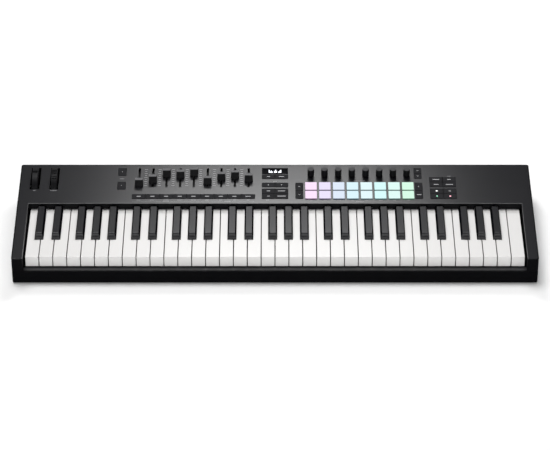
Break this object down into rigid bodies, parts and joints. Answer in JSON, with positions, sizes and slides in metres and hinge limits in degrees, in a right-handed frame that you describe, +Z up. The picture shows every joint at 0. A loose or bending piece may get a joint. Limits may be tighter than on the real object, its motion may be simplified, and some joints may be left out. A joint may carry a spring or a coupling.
{
  "type": "synthesizer",
  "caption": "Flat charcoal synthesizer keyboard: full-size keys in a recess between low arms, with wheels, faders, knobs, lit pads, a small display and button blocks on a sloping panel.",
  "frame": {"origin": "under the middle of the case, on the surface that the feet stand on", "axes": "+X to the player's right, +Y away from the player, +Z up"},
  "size_m": [0.89, 0.262, 0.0801],
  "materials": {
    "case": "satin charcoal, finely textured",
    "tray": "fine-textured black",
    "white_key": "smooth semi-gloss white",
    "black_key": "satin black",
    "control": "soft-touch black",
    "button": "matt charcoal silicone",
    "pad": "translucent silicone, lit from below in a row of pastel colours",
    "window": "glossy black",
    "chassis": "plain moulded grey",
    "board": "green solder mask",
    "metal": "satin nickel",
    "rubber": "matt black"
  },
  "bodies": {
    "root": {"bottom_case": "tray", "top_case": "case", "key_chassis": "chassis", "key_contact_board": "board", "main_board": "board", "wheel_bracket": "chassis", "display_window": "window", "usb_socket": "metal", "pedal_jack": "control", "foot_1": "rubber", "foot_2": "rubber", "foot_3": "rubber", "foot_4": "rubber"},
    "white_keys_cegb_1": {"white_keys_cegb_1": "white_key"},
    "white_keys_dfa_1": {"white_keys_dfa_1": "white_key"},
    "black_keys_1": {"black_keys_1": "black_key"},
    "white_keys_cegb_2": {"white_keys_cegb_2": "white_key"},
    "white_keys_dfa_2": {"white_keys_dfa_2": "white_key"},
    "black_keys_2": {"black_keys_2": "black_key"},
    "white_keys_cegb_3": {"white_keys_cegb_3": "white_key"},
    "white_keys_dfa_3": {"white_keys_dfa_3": "white_key"},
    "black_keys_3": {"black_keys_3": "black_key"},
    "white_keys_cegb_4": {"white_keys_cegb_4": "white_key"},
    "white_keys_dfa_4": {"white_keys_dfa_4": "white_key"},
    "black_keys_4": {"black_keys_4": "black_key"},
    "white_keys_cegb_5": {"white_keys_cegb_5": "white_key"},
    "white_keys_dfa_5": {"white_keys_dfa_5": "white_key"},
    "black_keys_5": {"black_keys_5": "black_key"},
    "white_key_top_c": {"white_key_top_c": "white_key"},
    "fader_cap_1": {"fader_cap_1": "control"},
    "fader_cap_2": {"fader_cap_2": "control"},
    "fader_cap_3": {"fader_cap_3": "control"},
    "fader_cap_4": {"fader_cap_4": "control"},
    "fader_cap_5": {"fader_cap_5": "control"},
    "fader_cap_6": {"fader_cap_6": "control"},
    "fader_cap_7": {"fader_cap_7": "control"},
    "fader_cap_8": {"fader_cap_8": "control"},
    "fader_cap_9": {"fader_cap_9": "control"},
    "knob_1": {"knob_1": "control"},
    "knob_2": {"knob_2": "control"},
    "knob_3": {"knob_3": "control"},
    "knob_4": {"knob_4": "control"},
    "knob_5": {"knob_5": "control"},
    "knob_6": {"knob_6": "control"},
    "knob_7": {"knob_7": "control"},
    "knob_8": {"knob_8": "control"},
    "pitch_wheel": {"pitch_wheel": "control"},
    "modulation_wheel": {"modulation_wheel": "control"},
    "octave_up_button": {"octave_up_button": "button"},
    "octave_down_button": {"octave_down_button": "button"},
    "fader_buttons": {"fader_buttons": "button"},
    "display_buttons": {"display_buttons": "button"},
    "track_buttons": {"track_buttons": "button"},
    "function_buttons": {"function_buttons": "button"},
    "pad_bank_buttons": {"pad_bank_buttons": "button"},
    "encoder_bank_buttons": {"encoder_bank_buttons": "button"},
    "pad_side_buttons": {"pad_side_buttons": "button"},
    "edit_buttons": {"edit_buttons": "button"},
    "transport_buttons": {"transport_buttons": "button"},
    "pad_sheet": {"pad_sheet": "pad"}
  },
  "joints": [
    {"name": "white_keys_cegb_1_press", "type": "hinge", "parent": "root", "child": "white_keys_cegb_1", "pos_m": [0, 0.046, 0.0312], "axis": [1, 0, 0], "range_deg": [0, 3.4], "stiffness_Nm_per_rad": 1.5, "springref_deg": -11.46},
    {"name": "white_keys_dfa_1_press", "type": "hinge", "parent": "root", "child": "white_keys_dfa_1", "pos_m": [0, 0.046, 0.0212], "axis": [1, 0, 0], "range_deg": [0, 3.4], "stiffness_Nm_per_rad": 1.5, "springref_deg": -11.46},
    {"name": "black_keys_1_press", "type": "hinge", "parent": "root", "child": "black_keys_1", "pos_m": [0, 0.046, 0.0412], "axis": [1, 0, 0], "range_deg": [0, 3.4], "stiffness_Nm_per_rad": 1.5, "springref_deg": -11.46},
    {"name": "white_keys_cegb_2_press", "type": "hinge", "parent": "root", "child": "white_keys_cegb_2", "pos_m": [0, 0.046, 0.0312], "axis": [1, 0, 0], "range_deg": [0, 3.4], "stiffness_Nm_per_rad": 1.5, "springref_deg": -11.46},
    {"name": "white_keys_dfa_2_press", "type": "hinge", "parent": "root", "child": "white_keys_dfa_2", "pos_m": [0, 0.046, 0.0212], "axis": [1, 0, 0], "range_deg": [0, 3.4], "stiffness_Nm_per_rad": 1.5, "springref_deg": -11.46},
    {"name": "black_keys_2_press", "type": "hinge", "parent": "root", "child": "black_keys_2", "pos_m": [0, 0.046, 0.0412], "axis": [1, 0, 0], "range_deg": [0, 3.4], "stiffness_Nm_per_rad": 1.5, "springref_deg": -11.46},
    {"name": "white_keys_cegb_3_press", "type": "hinge", "parent": "root", "child": "white_keys_cegb_3", "pos_m": [0, 0.046, 0.0312], "axis": [1, 0, 0], "range_deg": [0, 3.4], "stiffness_Nm_per_rad": 1.5, "springref_deg": -11.46},
    {"name": "white_keys_dfa_3_press", "type": "hinge", "parent": "root", "child": "white_keys_dfa_3", "pos_m": [0, 0.046, 0.0212], "axis": [1, 0, 0], "range_deg": [0, 3.4], "stiffness_Nm_per_rad": 1.5, "springref_deg": -11.46},
    {"name": "black_keys_3_press", "type": "hinge", "parent": "root", "child": "black_keys_3", "pos_m": [0, 0.046, 0.0412], "axis": [1, 0, 0], "range_deg": [0, 3.4], "stiffness_Nm_per_rad": 1.5, "springref_deg": -11.46},
    {"name": "white_keys_cegb_4_press", "type": "hinge", "parent": "root", "child": "white_keys_cegb_4", "pos_m": [0, 0.046, 0.0312], "axis": [1, 0, 0], "range_deg": [0, 3.4], "stiffness_Nm_per_rad": 1.5, "springref_deg": -11.46},
    {"name": "white_keys_dfa_4_press", "type": "hinge", "parent": "root", "child": "white_keys_dfa_4", "pos_m": [0, 0.046, 0.0212], "axis": [1, 0, 0], "range_deg": [0, 3.4], "stiffness_Nm_per_rad": 1.5, "springref_deg": -11.46},
    {"name": "black_keys_4_press", "type": "hinge", "parent": "root", "child": "black_keys_4", "pos_m": [0, 0.046, 0.0412], "axis": [1, 0, 0], "range_deg": [0, 3.4], "stiffness_Nm_per_rad": 1.5, "springref_deg": -11.46},
    {"name": "white_keys_cegb_5_press", "type": "hinge", "parent": "root", "child": "white_keys_cegb_5", "pos_m": [0, 0.046, 0.0312], "axis": [1, 0, 0], "range_deg": [0, 3.4], "stiffness_Nm_per_rad": 1.5, "springref_deg": -11.46},
    {"name": "white_keys_dfa_5_press", "type": "hinge", "parent": "root", "child": "white_keys_dfa_5", "pos_m": [0, 0.046, 0.0212], "axis": [1, 0, 0], "range_deg": [0, 3.4], "stiffness_Nm_per_rad": 1.5, "springref_deg": -11.46},
    {"name": "black_keys_5_press", "type": "hinge", "parent": "root", "child": "black_keys_5", "pos_m": [0, 0.046, 0.0412], "axis": [1, 0, 0], "range_deg": [0, 3.4], "stiffness_Nm_per_rad": 1.5, "springref_deg": -11.46},
    {"name": "white_key_top_c_press", "type": "hinge", "parent": "root", "child": "white_key_top_c", "pos_m": [0, 0.046, 0.0312], "axis": [1, 0, 0], "range_deg": [0, 3.4], "stiffness_Nm_per_rad": 0.5, "springref_deg": -11.46},
    {"name": "fader_cap_1_slide", "type": "slide", "parent": "root", "child": "fader_cap_1", "axis": [0, 0.9984, 0.0572], "range_m": [-0.0025, 0.0425]},
    {"name": "fader_cap_2_slide", "type": "slide", "parent": "root", "child": "fader_cap_2", "axis": [0, 0.9984, 0.0572], "range_m": [-0.0122, 0.0328]},
    {"name": "fader_cap_3_slide", "type": "slide", "parent": "root", "child": "fader_cap_3", "axis": [0, 0.9984, 0.0572], "range_m": [-0.0297, 0.0153]},
    {"name": "fader_cap_4_slide", "type": "slide", "parent": "root", "child": "fader_cap_4", "axis": [0, 0.9984, 0.0572], "range_m": [-0.026, 0.019]},
    {"name": "fader_cap_5_slide", "type": "slide", "parent": "root", "child": "fader_cap_5", "axis": [0, 0.9984, 0.0572], "range_m": [-0.0323, 0.0127]},
    {"name": "fader_cap_6_slide", "type": "slide", "parent": "root", "child": "fader_cap_6", "axis": [0, 0.9984, 0.0572], "range_m": [-0.0082, 0.0368]},
    {"name": "fader_cap_7_slide", "type": "slide", "parent": "root", "child": "fader_cap_7", "axis": [0, 0.9984, 0.0572], "range_m": [-0.0197, 0.0253]},
    {"name": "fader_cap_8_slide", "type": "slide", "parent": "root", "child": "fader_cap_8", "axis": [0, 0.9984, 0.0572], "range_m": [-0.0243, 0.0207]},
    {"name": "fader_cap_9_slide", "type": "slide", "parent": "root", "child": "fader_cap_9", "axis": [0, 0.9984, 0.0572], "range_m": [-0.0157, 0.0293]},
    {"name": "knob_1_turn", "type": "hinge", "parent": "root", "child": "knob_1", "pos_m": [0.0625, 0.098, 0.06461], "axis": [0, -0.0572, 0.9984], "continuous": true},
    {"name": "knob_2_turn", "type": "hinge", "parent": "root", "child": "knob_2", "pos_m": [0.08639, 0.098, 0.06461], "axis": [0, -0.0572, 0.9984], "continuous": true},
    {"name": "knob_3_turn", "type": "hinge", "parent": "root", "child": "knob_3", "pos_m": [0.11028, 0.098, 0.06461], "axis": [0, -0.0572, 0.9984], "continuous": true},
    {"name": "knob_4_turn", "type": "hinge", "parent": "root", "child": "knob_4", "pos_m": [0.13417, 0.098, 0.06461], "axis": [0, -0.0572, 0.9984], "continuous": true},
    {"name": "knob_5_turn", "type": "hinge", "parent": "root", "child": "knob_5", "pos_m": [0.15806, 0.098, 0.06461], "axis": [0, -0.0572, 0.9984], "continuous": true},
    {"name": "knob_6_turn", "type": "hinge", "parent": "root", "child": "knob_6", "pos_m": [0.18195, 0.098, 0.06461], "axis": [0, -0.0572, 0.9984], "continuous": true},
    {"name": "knob_7_turn", "type": "hinge", "parent": "root", "child": "knob_7", "pos_m": [0.20584, 0.098, 0.06461], "axis": [0, -0.0572, 0.9984], "continuous": true},
    {"name": "knob_8_turn", "type": "hinge", "parent": "root", "child": "knob_8", "pos_m": [0.22973, 0.098, 0.06461], "axis": [0, -0.0572, 0.9984], "continuous": true},
    {"name": "pitch_wheel_turn", "type": "hinge", "parent": "root", "child": "pitch_wheel", "pos_m": [-0.418, 0.09079, 0.04517], "axis": [-1, 0, 0], "range_deg": [-45, 45], "stiffness_Nm_per_rad": 0.05},
    {"name": "modulation_wheel_turn", "type": "hinge", "parent": "root", "child": "modulation_wheel", "pos_m": [-0.3848, 0.09079, 0.04517], "axis": [-1, 0, 0], "range_deg": [0, 80]},
    {"name": "octave_up_button_press", "type": "slide", "parent": "root", "child": "octave_up_button", "axis": [0, 0.0572, -0.9984], "range_m": [0, 0.0008], "stiffness_N_per_m": 1500, "springref_m": -0.0005},
    {"name": "octave_down_button_press", "type": "slide", "parent": "root", "child": "octave_down_button", "axis": [0, 0.0572, -0.9984], "range_m": [0, 0.0008], "stiffness_N_per_m": 1500, "springref_m": -0.0005},
    {"name": "fader_buttons_press", "type": "slide", "parent": "root", "child": "fader_buttons", "axis": [0, 0.0572, -0.9984], "range_m": [0, 0.0008], "stiffness_N_per_m": 1500, "springref_m": -0.0005},
    {"name": "display_buttons_press", "type": "slide", "parent": "root", "child": "display_buttons", "axis": [0, 0.0572, -0.9984], "range_m": [0, 0.0008], "stiffness_N_per_m": 1500, "springref_m": -0.0005},
    {"name": "track_buttons_press", "type": "slide", "parent": "root", "child": "track_buttons", "axis": [0, 0.0572, -0.9984], "range_m": [0, 0.0008], "stiffness_N_per_m": 1500, "springref_m": -0.0005},
    {"name": "function_buttons_press", "type": "slide", "parent": "root", "child": "function_buttons", "axis": [0, 0.0572, -0.9984], "range_m": [0, 0.0008], "stiffness_N_per_m": 1500, "springref_m": -0.0005},
    {"name": "pad_bank_buttons_press", "type": "slide", "parent": "root", "child": "pad_bank_buttons", "axis": [0, 0.0572, -0.9984], "range_m": [0, 0.0008], "stiffness_N_per_m": 1500, "springref_m": -0.0005},
    {"name": "encoder_bank_buttons_press", "type": "slide", "parent": "root", "child": "encoder_bank_buttons", "axis": [0, 0.0572, -0.9984], "range_m": [0, 0.0008], "stiffness_N_per_m": 1500, "springref_m": -0.0005},
    {"name": "pad_side_buttons_press", "type": "slide", "parent": "root", "child": "pad_side_buttons", "axis": [0, 0.0572, -0.9984], "range_m": [0, 0.0008], "stiffness_N_per_m": 1500, "springref_m": -0.0005},
    {"name": "edit_buttons_press", "type": "slide", "parent": "root", "child": "edit_buttons", "axis": [0, 0.0572, -0.9984], "range_m": [0, 0.0008], "stiffness_N_per_m": 1500, "springref_m": -0.0005},
    {"name": "transport_buttons_press", "type": "slide", "parent": "root", "child": "transport_buttons", "axis": [0, 0.0572, -0.9984], "range_m": [0, 0.0008], "stiffness_N_per_m": 1500, "springref_m": -0.0005},
    {"name": "pad_sheet_press", "type": "slide", "parent": "root", "child": "pad_sheet", "axis": [0, 0.0572, -0.9984], "range_m": [0, 0.0006], "stiffness_N_per_m": 4000, "springref_m": -0.0005}
  ]
}
